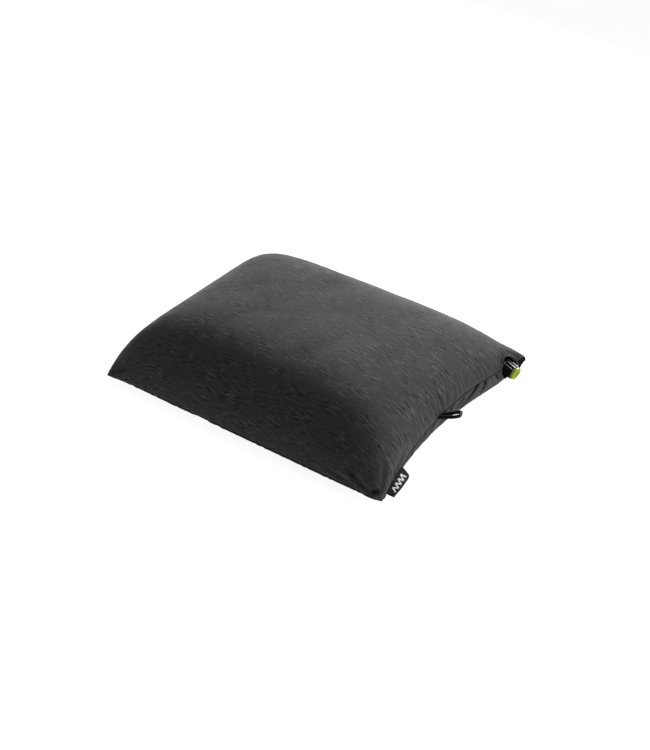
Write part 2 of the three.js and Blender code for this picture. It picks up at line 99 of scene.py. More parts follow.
# How far each corner of the seam is drawn in as it is rounded, by the signs of u and v.
CORNER_ROUNDING = {(1, -1): 0.8 * MM, (1, 1): 0.2 * MM, (-1, -1): -1.8 * MM, (-1, 1): 4 * MM}
CORNER_REACH = 13  # a power: higher numbers keep the rounding nearer the corner
TIP_BLUNTING = {(1, -1): 2.6 * MM, (1, 1): 2.6 * MM, (-1, -1): 0.9 * MM, (-1, 1): 2.6 * MM}
TIP_REACH = 45
FRONT_CORNER_DROP = 2.2 * MM

# The corner over the valve stands out and up like an ear.
EAR_LIFT = 5.6 * MM
EAR_REACH = 6.4 * MM
EAR_ALONG = (0.84, 0.985)
EAR_ACROSS = (0.76, 0.91)

CELLS_ALONG = 132
CELLS_ACROSS = 92
CLOTH = 0.7 * MM

PANEL_EDGE = -0.22
FLAP_EDGE = 0.12
FLAP_STEP = (-0.42, -0.27)
FLAP_LIFT = 1.5 * MM


def mix(a, b, share):
    return a + (b - a) * share


def ease(value, start, end):
    t = np.clip((value - start) / (end - start), 0, 1)
    return t * t * (3 - 2 * t)


def ear(u, v):
    return ease(u, *EAR_ALONG) * ease(v, *EAR_ACROSS)


def outline(u, v):
    """The plan of a layer, with the seam's four corners rounded."""
    pull = np.where(u > 0, VALVE_END_PULL, PLAIN_END_PULL)
    x = LENGTH / 2 * u * (1 - pull * (1 - v * v))
    y = WIDTH / 2 * v * (1 - SIDE_PULL * (1 - u * u))
    for (end, side), reach in CORNER_ROUNDING.items():
        corner = np.clip(u * end, 0, 1) * np.clip(v * side, 0, 1)
        pulled = reach * corner**CORNER_REACH + TIP_BLUNTING[end, side] * corner**TIP_REACH
        x = x - end * pulled
        y = y - side * pulled
    return x + EAR_REACH * ear(u, v) * ease(v, 0.86, 1), y


def seam_height(u, v):
    valve = (1 + u) / 2
    back = (1 + v) / 2
    front_edge = mix(SEAM["plain_front"], SEAM["valve_front"], valve)
    back_edge = mix(SEAM["plain_back"], SEAM["valve_back"], valve)
    ends = (SEAM["valve_end"] - (SEAM["valve_front"] + SEAM["valve_back"]) / 2) * valve**2
    ends = ends + (SEAM["plain_end"] - (SEAM["plain_front"] + SEAM["plain_back"]) / 2) * (1 - valve) ** 2
    sides = (SEAM["front"] - (SEAM["plain_front"] + SEAM["valve_front"]) / 2) * (1 - back) ** 2
    sides = sides + (SEAM["back"] - (SEAM["plain_back"] + SEAM["valve_back"]) / 2) * back**2
    corners = EAR_LIFT * ear(u, v) - FRONT_CORNER_DROP * ease(np.abs(u), 0.8, 1) * ease(-v, 0.8, 1)
    return mix(front_edge, back_edge, back) + ends * (1 - v * v) + sides * (1 - u * u) + corners


def swell(u, v, front_fullness=CROSSWISE_FULLNESS):
    lengthwise = 1 - np.abs(u) ** LENGTHWISE_FULLNESS
    fullness = np.where(v < 0, mix(CROSSWISE_FULLNESS, front_fullness, lengthwise), CROSSWISE_FULLNESS)
    return lengthwise * (1 - np.abs(v) ** fullness)


def crown(u, v):
    fullness = np.maximum(swell(u, v, FRONT_FULLNESS), 0) ** CROWN_ROUNDING
    return np.stack([*outline(u, v), mix(seam_height(u, v), HEIGHT, fullness)], axis=-1)


def belly(u, v):
    drop = np.minimum(1, BELLY_FLATNESS * np.maximum(swell(u, v), 0) ** BELLY_ROUNDING)
    return np.stack([*outline(u, v), mix(seam_height(u, v), 0, drop)], axis=-1)


def places(along, across):
    """Grids of u and v, closer together towards the edges."""
    u = np.sin(np.linspace(-1, 1, along + 1) * math.pi / 2)
    v = np.sin(np.linspace(-1, 1, across + 1) * math.pi / 2)
    return np.meshgrid(u, v, indexing="ij")


# ---- meshes from grids


def make_mesh(name, points, faces):
    mesh = bpy.data.meshes.new(name)
    faces = [tuple(map(int, face)) for face in faces]
    mesh.from_pydata(np.asarray(points).reshape(-1, 3).tolist(), [], faces)
    mesh.polygons.foreach_set("use_smooth", [True] * len(faces))
    mesh.update()
    obj = bpy.data.objects.new(name, mesh)
    bpy.context.scene.collection.objects.link(obj)
    return obj


def grid_faces(index, flip=False):
    """The quads of a grid of point numbers, facing +Z when the rows run along +X and the columns along +Y."""
    corners = [index[:-1, :-1], index[1:, :-1], index[1:, 1:], index[:-1, 1:]]
    if flip:
        corners.reverse()
    return np.stack([corner.ravel() for corner in corners], axis=1)


def ring_faces(rows, columns, closed_rows=False):
    """The quads of a tube of rings; a torus when the last ring joins the first."""
    index = np.arange(rows * columns).reshape(rows, columns)
    index = np.concatenate([index, index[:, :1]], axis=1)
    if closed_rows:
        index = np.concatenate([index, index[:1]], axis=0)
    return grid_faces(index)


def tube_faces(rows, columns, first=0):
    """The faces of a tube of rings with its two ends closed, whose points are numbered from first."""
    last = first + (rows - 1) * columns
    ends = [list(range(start, start + columns)) for start in (first, last)]
    return (ring_faces(rows, columns) + first).tolist() + ends


def outwards(obj):
    """Turns every face of a closed piece to look out."""
    work = bmesh.new()
    work.from_mesh(obj.data)
    bmesh.ops.recalc_face_normals(work, faces=work.faces)
    work.to_mesh(obj.data)
    work.free()
    return obj


def circle(count):
    """Even angles all the way round."""
    return np.linspace(0, 2 * math.pi, count, endpoint=False)


def unit_rows(vectors):
    return vectors / np.maximum(np.linalg.norm(vectors, axis=-1, keepdims=True), TINY)


def normals_of(points):
    """Unit normals of a grid of points, towards +Z over the crown."""
    return unit_rows(np.cross(np.gradient(points, axis=0), np.gradient(points, axis=1)))


def arc_lengths(points, axis):
    """Distance along each line of a grid from its first point."""
    steps = np.linalg.norm(np.diff(points, axis=axis), axis=-1)
    start = np.zeros_like(np.take(steps, [0], axis=axis))
    return np.concatenate([start, np.cumsum(steps, axis=axis)], axis=axis)


def cloth_map(points):
    """Distances along and across the cloth from its middle, which follow the fabric over every curve."""
    along = arc_lengths(points, 0)
    across = arc_lengths(points, 1)
    row, column = points.shape[0] // 2, points.shape[1] // 2
    return along - along[row : row + 1], across - across[:, column : column + 1]


def set_map(obj, along, across):
    """Stores the cloth's own distances as the mesh's UV map."""
    layer = obj.data.uv_layers.new(name="cloth")
    corner_points = np.zeros(len(obj.data.loops), np.int32)
    obj.data.loops.foreach_get("vertex_index", corner_points)
    flat = np.stack([along.ravel(), across.ravel()], axis=1)[corner_points]
    layer.data.foreach_set("uv", flat.astype(np.float32).ravel())


def set_crease_shade(obj, depth):
    """Stores how deep each point lies in a fold, from 0 to 1, for the painted shade in the cloth's creases."""
    layer = obj.data.attributes.new(name="hollow", type="FLOAT", domain="POINT")
    layer.data.foreach_set("value", depth.astype(np.float32).ravel())


def finish_piece(obj, body, material, slot, *nodes):
    obj.data.materials.append(material)
    if nodes:
        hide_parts(*nodes)
    if body:
        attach(obj, body)
    return obj


def wander(t, wavelength, seed):
    """A smooth random line of about unit size along t."""
    rng = np.random.default_rng(seed)
    total = np.zeros_like(t)
    waves = 5
    for _ in range(waves):
        rate = 2 * math.pi / (wavelength * rng.uniform(0.6, 1.7))
        total = total + np.sin(rate * t + rng.uniform(0, 2 * math.pi))
    return total / math.sqrt(waves / 2)


# ---- the cover under pressure

SETTLE_FRAMES = 20
SETTLE_CAP = 5 * MM
LOOSE_HOLD = 0.12  # how firmly the free cloth is held in its place
CLOTH_SETTINGS = {
    "quality": 6,
    "mass": 0.2,
    "tension_stiffness": 20,
    "compression_stiffness": 20,
    "shear_stiffness": 8,
    "bending_stiffness": 0.25,
    "use_pressure": True,
    "uniform_pressure_force": 1.2,
    "vertex_group_mass": "held",
    "pin_stiffness": 1.0,
    "vertex_group_shrink": "slack",
    "shrink_min": 0.0,
    "shrink_max": -0.05,  # how much longer the cloth beside the seam is than the seam
}


def shell_index(rows, columns):
    """Point numbers of the crown and of the belly, which share the seam's points."""
    top = np.arange(rows * columns).reshape(rows, columns)
    bottom = top.copy()
    inner = (rows - 2) * (columns - 2)
    bottom[1:-1, 1:-1] = rows * columns + np.arange(inner).reshape(rows - 2, columns - 2)
    return top, bottom


def point_group(obj, name, weights):
    group = obj.vertex_groups.new(name=name)
    for number, weight in enumerate(weights):
        if weight > 0:
            group.add([number], float(weight), "REPLACE")


def hold_and_slack(u, v, z):
    """How firmly each point is held, and how much spare cloth it has: held at the seam and on the floor."""
    edge = np.maximum(np.abs(u), np.abs(v))
    held = np.where(edge >= 0.9999, 1.0, LOOSE_HOLD)
    held = np.where(z < 0.3 * MM, 1.0, held)
    slack = ease(np.maximum(np.abs(u), np.abs(v) ** 1.6), 0.8, 0.985)
    return held, slack


def settle(u, v, top, bottom):
    """Lets the cover's cloth settle under the air's pressure, and returns how far each point moved."""
    rows, columns = u.shape
    top_index, bottom_index = shell_index(rows, columns)
    points = np.concatenate([top.reshape(-1, 3), bottom[1:-1, 1:-1].reshape(-1, 3)])
    places_u = np.concatenate([u.ravel(), u[1:-1, 1:-1].ravel()])
    places_v = np.concatenate([v.ravel(), v[1:-1, 1:-1].ravel()])
    faces = np.concatenate([grid_faces(top_index), grid_faces(bottom_index, flip=True)])
    shell = make_mesh("settling_cover", points, faces)
    held, slack = hold_and_slack(places_u, places_v, points[:, 2])
    point_group(shell, "held", held)
    point_group(shell, "slack", slack)

    cloth = shell.modifiers.new("settle", "CLOTH")
    for key, value in CLOTH_SETTINGS.items():
        setattr(cloth.settings, key, value)
    cloth.settings.effector_weights.gravity = 0
    cloth.collision_settings.use_collision = False
    cloth.collision_settings.use_self_collision = False
    cloth.point_cache.frame_start = 1
    cloth.point_cache.frame_end = SETTLE_FRAMES
    for number in range(1, SETTLE_FRAMES + 1):
        bpy.context.scene.frame_set(number)
    settled = shell.evaluated_get(bpy.context.evaluated_depsgraph_get()).to_mesh()
    moved = np.zeros(len(points) * 3, np.float32)
    settled.vertices.foreach_get("co", moved)
    bpy.data.objects.remove(shell)
    bpy.context.scene.frame_set(1)

    shift = moved.reshape(-1, 3).astype(float) - points
    size = np.linalg.norm(shift, axis=1, keepdims=True)
    shift *= np.minimum(1, SETTLE_CAP / np.maximum(size, TINY))
    return shift[top_index], shift[bottom_index]


def twice_as_fine(values):
    """A grid of values at twice the resolution, along smooth curves through the old points."""
    for axis in (0, 1):
        moved = np.moveaxis(values, axis, 0)
        padded = np.concatenate([2 * moved[:1] - moved[1:2], moved, 2 * moved[-1:] - moved[-2:-1]])
        between = (9 * (padded[1:-2] + padded[2:-1]) - padded[:-3] - padded[3:]) / 16
        finer = np.empty((2 * len(moved) - 1, *moved.shape[1:]))
        finer[0::2] = moved
        finer[1::2] = between
        values = np.moveaxis(finer, 0, axis)
    return values


# ---- folds, puckers and the seam's groove

GROOVE_DEPTH = 0.9 * MM
GROOVE_WIDTH = 1.6 * MM

# Along each side: the distance between puckers, how far they reach from the seam, and their height.
PUCKERS = {
    "valve_end": (8.5 * MM, 13 * MM, 0.55 * MM),
    "plain_end": (11 * MM, 14 * MM, 0.5 * MM),
    "front": (14 * MM, 13 * MM, 0.35 * MM),
    "back": (12 * MM, 15 * MM, 0.45 * MM),
}


def fold(along, across, start, end, depth, width):
    """A crease between two places on the cloth with a soft ridge on either side, deepest in its middle."""
    start, end = np.array(start), np.array(end)
    run = end - start
    length = np.linalg.norm(run)
    direction = run / length
    a = (along - start[0]) * direction[0] + (across - start[1]) * direction[1]
    off = (along - start[0]) * -direction[1] + (across - start[1]) * direction[0]
    taper = np.clip(np.sin(np.clip(a / length, 0, 1) * math.pi), 0, 1) ** 0.6
    crease = np.exp(-((off / width) ** 2))
    ridges = np.exp(-(((np.abs(off) - 2.1 * width) / (1.2 * width)) ** 2))
    return depth * taper * (0.4 * ridges - crease)


def add_folds(relief, along, across, lines):
    """Adds folds, in millimetres: where each starts and ends, its depth and its width."""
    for line in lines:
        relief += fold(along, across, *(np.array(value) * MM for value in line))


def bump_at(along, across, place, height, radius):
    distance = (along - place[0]) ** 2 + (across - place[1]) ** 2
    return height * np.exp(-distance / radius**2)


def side_distances(points):
    """Distance over the cloth from each of the four sides' seams."""
    along = arc_lengths(points, 0)
    across = arc_lengths(points, 1)
    return {
        "valve_end": along[-1:] - along,
        "plain_end": along,
        "front": across,
        "back": across[:, -1:] - across,
    }


def puckers(points, distances, seed):
    """Small gathers square to the seam along all four sides, uneven in size and spacing."""
    total = np.zeros(points.shape[:2])
    for number, (side, (pitch, reach, height)) in enumerate(PUCKERS.items()):
        t = points[..., 1] if side.endswith("end") else points[..., 0]
        phase = 2 * math.pi * t / pitch + 1.3 * wander(t, 60 * MM, seed + number)
        size = 0.55 + 0.45 * np.clip(wander(t, 45 * MM, seed + 10 + number), -1, 1.4)
        distance = distances[side]
        fade = np.exp(-distance / (reach * (0.6 + 0.4 * size))) * ease(distance, 0, 2.5 * MM)
        total += height * size * fade * np.cos(phase)
    return total


def undulation(along, across, seed, wavelength, height):
    """Broad uneven swells of the padded surface."""
    rng = np.random.default_rng(seed)
    total = np.zeros_like(along)
    waves = 9
    for _ in range(waves):
        turn = rng.uniform(0, 2 * math.pi)
        rate = 2 * math.pi / (wavelength * rng.uniform(0.6, 1.6))
        distance = along * math.cos(turn) + across * math.sin(turn)
        total += np.sin(rate * distance + rng.uniform(0, 2 * math.pi))
    return height * total / math.sqrt(waves / 2)


def groove(distances):
    nearest = np.minimum.reduce(list(distances.values()))
    return -GROOVE_DEPTH * np.exp(-((nearest / GROOVE_WIDTH) ** 2))


# How deep a crease lies before its painted shade is darkest.
CROWN_SHADE_DEPTH = 2.2 * MM
BELLY_SHADE_DEPTH = 1.3 * MM


def crease_shade_share(relief, depth):
    return np.clip(-relief / depth, 0, 1)


def crown_relief(points):
    """Everything that stands out from or sinks into the crown, in metres along its normal."""
    distances = side_distances(points)
    x, y = points[..., 0], points[..., 1]
    relief = puckers(points, distances, SEED) + groove(distances)
    centre = ease(np.minimum.reduce(list(distances.values())), 5 * MM, 60 * MM)
    relief += undulation(x, y, SEED + 3, 75 * MM, 0.2 * MM) * centre
    relief += undulation(x, y, SEED + 4, 26 * MM, 0.06 * MM) * centre

    # Gathers that rise from the valve end's seam near the hanging loop.
    end = distances["valve_end"]
    gathers = [(-9, 26, 0.9), (4, 30, 1.2), (13, 20, 0.8), (27, 24, 0.6), (-24, 20, 0.6)]
    lines = [((1.5, at), (1.5 + run, at * 1.35 + 2), depth, 1.5) for at, run, depth in gathers]
    add_folds(relief, end, y - joints["loop_swing"]["pos_m"][1], lines)

    # Folds that run into the rounded front corner, and the dimple at its tip.
    front = distances["front"]
    add_folds(relief, end, front, [((20, 6), (62, 22), 1.5, 3.2), ((9, 12), (30, 48), 1.3, 3.0)])
    add_folds(relief, end, front, [((30, 4), (85, 10), 1.0, 3.4), ((5, 26), (12, 70), 0.8, 3.2)])
    relief += bump_at(end, front, (15 * MM, 9 * MM), -2.2 * MM, 4.5 * MM)
    relief += bump_at(end, front, (8 * MM, 10 * MM), 1.3 * MM, 3.2 * MM)

    # The pointed front corner at the plain end, and the two back corners.
    plain, back = distances["plain_end"], distances["back"]
    add_folds(relief, plain, front, [((8, 5), (52, 24), 1.2, 3.0), ((5, 10), (22, 46), 1.0, 2.8)])
    add_folds(relief, plain, back, [((9, 7), (46, 30), 1.2, 3.0), ((7, 14), (24, 52), 0.9, 3.0)])
    add_folds(relief, plain, back, [((16, 5), (60, 14), 0.8, 3.0)])
    add_folds(relief, end, back, [((30, 8), (66, 26), 1.1, 3.0), ((46, 4), (84, 10), 0.7, 3.0)])
    return relief


def belly_relief(points):
    """The belly's gathers and folds. It stays flat where it rests on the floor."""
    distances = side_distances(points)
    x, y = points[..., 0], points[..., 1]
    relief = 1.2 * puckers(points, distances, SEED + 20) + groove(distances)
    end = distances["valve_end"]
    half = WIDTH / 2 / MM
    for place, drop, run, depth, width in [
        (0.47, 21, 33, 3.6, 3.3), (0.56, 20, 9, 2.4, 2.5), (0.30, 16, 20, 1.4, 2.2),
        (0.14, 20, 24, 2.2, 2.3), (0.03, 17, 16, 1.8, 2.1), (-0.13, 18, 22, 2, 2.2),
        (-0.26, 14, 20, 1.3, 2.2), (0.66, 14, -10, 1.2, 2), (-0.44, 13, 16, 1.2, 2.2),
    ]:
        add_folds(relief, end, y, [((0.8, place * half), (drop, place * half - run), depth, width)])
    back = distances["back"]
    add_folds(relief, end, back, [((2, 3), (16, 15), 3.0, 2.0), ((9, 1.5), (24, 12), 2.4, 2.0)])
    add_folds(relief, end, back, [((1.5, 9), (12, 24), 2.2, 2.0)])
    for distance, t, slants in [
        (back, x, [(-150, 12), (-95, -9), (-40, 7), (20, -13), (70, 12), (130, -9)]),
        (distances["plain_end"], y, [(-70, 12), (-20, -9), (35, 7), (85, -13)]),
    ]:
        add_folds(relief, distance, t, [((0.8, at), (17, at + lean), 1.6, 2.2) for at, lean in slants])
    return relief * ease(points[..., 2], 0.5 * MM, 6 * MM)


def shape_cover():
    """The crown's and the belly's grids of points, settled under pressure, with their folds, and how deep each
    point lies in a fold for the painted shade there.
    """
    u, v = places(2 * CELLS_ALONG, 2 * CELLS_ACROSS)
    top, bottom = crown(u, v), belly(u, v)
    coarse_u, coarse_v = places(CELLS_ALONG, CELLS_ACROSS)
    moved = settle(coarse_u, coarse_v, crown(coarse_u, coarse_v), belly(coarse_u, coarse_v))
    top = top + twice_as_fine(moved[0])
    bottom = bottom + twice_as_fine(moved[1])
    rise = crown_relief(top)
    sink = belly_relief(bottom)
    top = top + normals_of(top) * rise[..., None]
    bottom = bottom - normals_of(bottom) * sink[..., None]
    hollows = crease_shade_share(rise, CROWN_SHADE_DEPTH), crease_shade_share(sink, BELLY_SHADE_DEPTH)
    seam = (top + bottom) / 2
    for grid in (top, bottom):
        for edge in (np.s_[0], np.s_[-1], np.s_[:, 0], np.s_[:, -1]):
            grid[edge] = seam[edge]
        grid[..., 2] = np.maximum(grid[..., 2], 0)
    return u, v, top, bottom, hollows


# ---- the valve's own frame


def unit(vector):
    return vector / np.linalg.norm(vector)


def bend_from_seam(piece, axes, start, end):
    """Bakes a piece's placement into its mesh; the two places along its axes, from start and end, are worked
    out but not used.
    """
    start, end = (tuple(axes.origin + reach * axes.out) for reach in (start, end))
    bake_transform(piece)


class Axes:
    """A place with three directions: out, side and up."""

    def __init__(self, origin, out, side=None):
        self.origin = np.array(origin)
        self.out = unit(np.array(out))
        self.side = unit(np.cross(self.out, (0, 0, 1)) if side is None else np.array(side))
        self.up = np.cross(self.side, self.out)

    def place(self, along, sideways, upwards):
        parts = [np.asarray(along)[..., None] * self.out, np.asarray(sideways)[..., None] * self.side]
        return self.origin + parts[0] + parts[1] + np.asarray(upwards)[..., None] * self.up

    def measure(self, points):
        """Along the axis, the distance from it and the angle round it."""
        offset = points - self.origin
        sideways, upwards = offset @ self.side, offset @ self.up
        return offset @ self.out, np.hypot(sideways, upwards), np.arctan2(upwards, sideways)


valve = Axes(joints["collar_twist"]["pos_m"], joints["collar_twist"]["axis"])

PORT_R = 14 * MM
PORT_DEPTH = (-12 * MM, 40 * MM)  # how far along the valve's axis the port cuts through the cover


def open_port(points, faces):
    """Opens the valve's port in a sheet and draws the cut edge onto a circle. Also returns the edge."""
    along, distance, _ = valve.measure(points)
    inside = (distance < PORT_R) & (along > PORT_DEPTH[0]) & (along < PORT_DEPTH[1])
    centres_inside = inside[faces].sum(axis=1) >= 2
    kept = faces[~centres_inside]
    edge = np.intersect1d(faces[centres_inside].ravel(), kept.ravel())
    sideways = (points[edge] - valve.origin) @ valve.side
    upwards = (points[edge] - valve.origin) @ valve.up
    scale = PORT_R / distance[edge]
    points = points.copy()
    points[edge] = valve.place(along[edge], sideways * scale, upwards * scale)
    return points, kept, edge


def without_loose_points(points, faces, *values):
    used = np.unique(faces)
    renumber = np.full(len(points), -1)
    renumber[used] = np.arange(len(used))
    return (points[used], renumber[faces], *[value.ravel()[used] for value in values])


# ---- materials


class Finish:
    """One node-built material, with short names for the nodes it needs."""

    def __init__(self, name, **values):
        self.material = bpy.data.materials.new(name)
        self.material.use_nodes = True
        self.tree = self.material.node_tree
        self.shader = self.tree.nodes["Principled BSDF"]
        self.give(**values)

    def give(self, **values):
        """Sets the shader's inputs, named in lower case with underscores, and returns the material."""
        for key, value in values.items():
            self.put(self.shader, key.replace("_", " ").title().replace("Ior", "IOR"), value)
        return self.material

    def put(self, node, key, value):
        target = node.inputs[key]
        if isinstance(value, bpy.types.NodeSocket):
            self.tree.links.new(value, target)
        else:
            target.default_value = value

    def add(self, kind, values, **settings):
        """Adds a node with values for its inputs, by name or number, and returns its outputs."""
        node = self.tree.nodes.new(kind)
        for key, value in settings.items():
            setattr(node, key, value)
        for key, value in values.items():
            self.put(node, key, value)
        return node.outputs

    def coordinates(self, kind, scale=1.0):
        """The object's or the cloth's own coordinates, stretched by one scale or by three."""
        scale = scale if isinstance(scale, tuple) else (scale, scale, scale)
        place = self.add("ShaderNodeTexCoord", {})[kind]
        return self.add("ShaderNodeMapping", {"Vector": place, "Scale": scale})[0]

    def noise(self, kind, scale, detail=2.0, roughness=0.5, distortion=0.0):
        values = {"Detail": detail, "Roughness": roughness, "Distortion": distortion, "Scale": 1.0}
        return self.add("ShaderNodeTexNoise", {"Vector": self.coordinates(kind, scale), **values})[0]

    def wave(self, kind, direction, scale, distortion=0.0):
        values = {"Vector": self.coordinates(kind), "Scale": scale, "Distortion": distortion}
        return self.add("ShaderNodeTexWave", values, bands_direction=direction)["Fac"]

    def math(self, operation, a, b):
        return self.add("ShaderNodeMath", {0: a, 1: b}, operation=operation)[0]

    def remap(self, value, low, high, to_low=0.0, to_high=1.0):
        values = {"Value": value, "From Min": low, "From Max": high, "To Min": to_low, "To Max": to_high}
        return self.add("ShaderNodeMapRange", values)[0]

    def tint(self, share, a, b):
        return self.add("ShaderNodeMix", {0: share, 6: a, 7: b}, data_type="RGBA")[2]

    def bump(self, height, distance, strength=1.0, **below):
        values = {"Height": height, "Distance": distance, "Strength": strength}
        return self.add("ShaderNodeBump", {**values, **below})[0]

    def shade_folds(self, colour, share, specular, sheen):
        """Sets the cloth's colour and shine with painted shade in the folds: darker colour, and less specular
        and sheen, down in them.
        """
        hollow = self.add("ShaderNodeAttribute", {}, attribute_name="hollow")["Fac"]
        shade = self.math("MULTIPLY", hollow, share)
        lit = self.math("SUBTRACT", 1.0, shade)
        self.give(base_color=self.tint(shade, colour, grey(0.002)))
        self.give(specular_ior_level=self.math("MULTIPLY", lit, specular))
        self.give(sheen_weight=self.math("MULTIPLY", lit, sheen))


def grey(value, warmth=0.0):
    return (value * (1 + warmth), value, value * (1 - warmth), 1)


GRAIN = 2600  # the scale of the fine spark-eroded grain on moulded plastic


def jersey_finish():
    """Brushed stretch jersey: a fine heather with short slubs along the cloth, sparse and in clusters, their
    darker and lighter dashes painted shade and painted highlight of the small ridges that the same pattern
    bumps.
    """
    cloth = Finish("jersey", roughness=0.9, sheen_roughness=0.45, sheen_tint=grey(0.8))
    heather = cloth.noise("UV", (500, 1600, 1), 3, 0.65)
    slubs = cloth.noise("UV", (80, 640, 1), 1.5, distortion=0.3)
    often = cloth.remap(cloth.noise("UV", (30, 75, 1), 2.5, 0.6), 0.38, 0.64, -0.05, 0.085)
    ridges = cloth.remap(cloth.math("ADD", slubs, often), 0.6, 0.68)
    hollows = cloth.remap(cloth.math("SUBTRACT", slubs, often), 0.4, 0.32)
    colour = cloth.tint(cloth.remap(heather, 0.3, 0.7), grey(0.0255, -0.025), grey(0.0385, -0.025))
    # Painted shade: the slubs' dark dashes.
    colour = cloth.tint(ridges, colour, grey(0.007, -0.03))
    # Painted highlight: the slubs' light dashes.
    colour = cloth.tint(cloth.math("MULTIPLY", hollows, 0.6), colour, grey(0.085, -0.03))
    # Painted shade in the folds: darker colour and less shine down in them.
    cloth.shade_folds(colour, 0.8, specular=0.25, sheen=0.22)
    knit = cloth.math("MULTIPLY", cloth.wave("UV", "Y", 320, 1.2), 0.16)
    loops = cloth.bump(cloth.math("ADD", knit, cloth.math("MULTIPLY", heather, 0.35)), 0.1 * MM, 0.5)
    relief = cloth.math("SUBTRACT", hollows, ridges)
    return cloth.give(normal=cloth.bump(relief, 0.25 * MM, 0.7, Normal=loops))


def underside_finish():
    """Smooth close-woven polyester, with a faint grid of thicker threads."""
    cloth = Finish("underside_cloth", sheen_roughness=0.4)
    weave = cloth.math("MAXIMUM", cloth.wave("UV", "X", 420, 0.5), cloth.wave("UV", "Y", 420, 0.5))
    cloudy = cloth.noise("UV", (60, 60, 1), 4, 0.6)
    thread = cloth.math("MULTIPLY", cloth.noise("UV", (900, 220, 1)), 0.4)
    colour = cloth.tint(cloth.remap(cloudy, 0.35, 0.68), grey(0.027, -0.015), grey(0.037, -0.015))
    # Painted shade in the folds: darker colour and less shine down in them.
    cloth.shade_folds(cloth.tint(thread, colour, grey(0.075)), 0.95, specular=0.32, sheen=0.12)
    normal = cloth.bump(cloudy, 0.4 * MM, 0.35, Normal=cloth.bump(weave, 0.08 * MM, 0.5))
    return cloth.give(roughness=cloth.remap(cloudy, 0.3, 0.7, 0.64, 0.8), normal=normal)


def ear_shade_finish():
    """A dull near-black cloth for the faces folded in beside the valve, as painted shade."""
    cloth = Finish("port_painted_shade", roughness=0.95, specular_ior_level=0.08)
    threads = cloth.noise("UV", (1500, 1500, 1))
    colour = cloth.tint(threads, grey(0.003), grey(0.012))
    return cloth.give(base_color=colour, normal=cloth.bump(threads, 0.15 * MM, 0.6))


def webbing_finish():
    """Black braided cord, with a slight shine on the threads."""
    cloth = Finish("webbing", sheen_weight=0.03, specular_ior_level=0.25)
    fibres = cloth.noise("Object", (900, 900, 2600), 3)
    rubbed = cloth.remap(cloth.noise("Object", 120), 0.3, 0.7, 0.5, 0.72)
    colour = cloth.tint(fibres, grey(0.002), grey(0.008))
    return cloth.give(base_color=colour, roughness=rubbed, normal=cloth.bump(fibres, 0.1 * MM, 0.5))


def label_finish():
    """A satin-woven tape: fine ribs across the label."""
    cloth = Finish("label_tape", specular_ior_level=0.2)
    fibres = cloth.noise("UV", (3000, 400, 1))
    cloth.give(base_color=cloth.tint(fibres, grey(0.002), grey(0.006)))
    ribs = cloth.bump(cloth.wave("UV", "X", 650, 0.4), 0.08 * MM, 0.6)
    return cloth.give(roughness=cloth.remap(fibres, 0.3, 0.7, 0.54, 0.72), normal=ribs)


def thread_finish(name, dark, light):
    thread = Finish(name, roughness=0.55, sheen_weight=0.15)
    twist = thread.wave("Object", "DIAGONAL", 900, 1.0)
    return thread.give(base_color=thread.tint(twist, dark, light), normal=thread.bump(twist, 0.06 * MM, 0.6))


def black_plastic_finish():
    """Moulded plastic: an even colour with a fine grain and slightly rubbed, uneven gloss."""
    plastic = Finish("black_plastic")
    rubbed = plastic.noise("Object", 160, 4, 0.6)
    plastic.give(base_color=plastic.tint(plastic.remap(rubbed, 0.35, 0.7), grey(0.003), grey(0.006)))
    grain = plastic.bump(plastic.noise("Object", GRAIN), 0.03 * MM, 0.25)
    return plastic.give(roughness=plastic.remap(rubbed, 0.3, 0.7, 0.28, 0.44), normal=grain)


def green_plastic_finish():
    """Lime plastic, darker and uneven in the sunk target on the cap's face."""
    plastic = Finish("green_plastic")
    along = plastic.add("ShaderNodeSeparateXYZ", {"Vector": plastic.coordinates("UV")})[0]
    sunk = plastic.remap(along, 19.75 * MM, 19.15 * MM)
    sunk = plastic.math("MULTIPLY", sunk, plastic.remap(along, 18.8 * MM, 19.1 * MM))
    rubbed = plastic.noise("Object", 420, 4, 0.65)
    colour = plastic.tint(plastic.remap(rubbed, 0.35, 0.7), (0.2, 0.27, 0.014, 1), (0.3, 0.38, 0.035, 1))
    target_darkening = plastic.math("MULTIPLY", sunk, plastic.remap(rubbed, 0.2, 0.8, 0.75, 0.35))
    plastic.give(base_color=plastic.tint(target_darkening, colour, (0.06, 0.075, 0.012, 1)))
    grain = plastic.bump(plastic.noise("Object", GRAIN), 0.03 * MM, 0.25)
    return plastic.give(roughness=plastic.remap(rubbed, 0.3, 0.7, 0.36, 0.5), normal=grain)


def rubber_finish():
    rubber = Finish("seal_rubber", roughness=0.6)
    bloom = rubber.noise("Object", 400, 4)
    colour = rubber.tint(bloom, grey(0.012), grey(0.028))
    return rubber.give(base_color=colour, normal=rubber.bump(bloom, 0.05 * MM, 0.4))


def steel_finish():
    steel = Finish("spring_steel", metallic=1.0)
    drawn = steel.noise("Object", (300, 3000, 3000), 3)
    colour = steel.tint(drawn, grey(0.42), grey(0.62))
    return steel.give(base_color=colour, roughness=steel.remap(drawn, 0.3, 0.7, 0.2, 0.38))


def foam_finish():
    """Open-cell foam: pores of two sizes in a cream skin, the pores painted darker as painted shade in them."""
    foam = Finish("foam", roughness=0.95)
    pores = foam.add("ShaderNodeTexVoronoi", {"Vector": foam.coordinates("Object"), "Scale": 900.0})[0]
    rough = foam.math("ADD", pores, foam.noise("Object", 250, 3))
    colour = foam.tint(pores, (0.4, 0.36, 0.26, 1), (0.72, 0.67, 0.55, 1))
    return foam.give(base_color=colour, normal=foam.bump(rough, 0.3 * MM, 0.8))


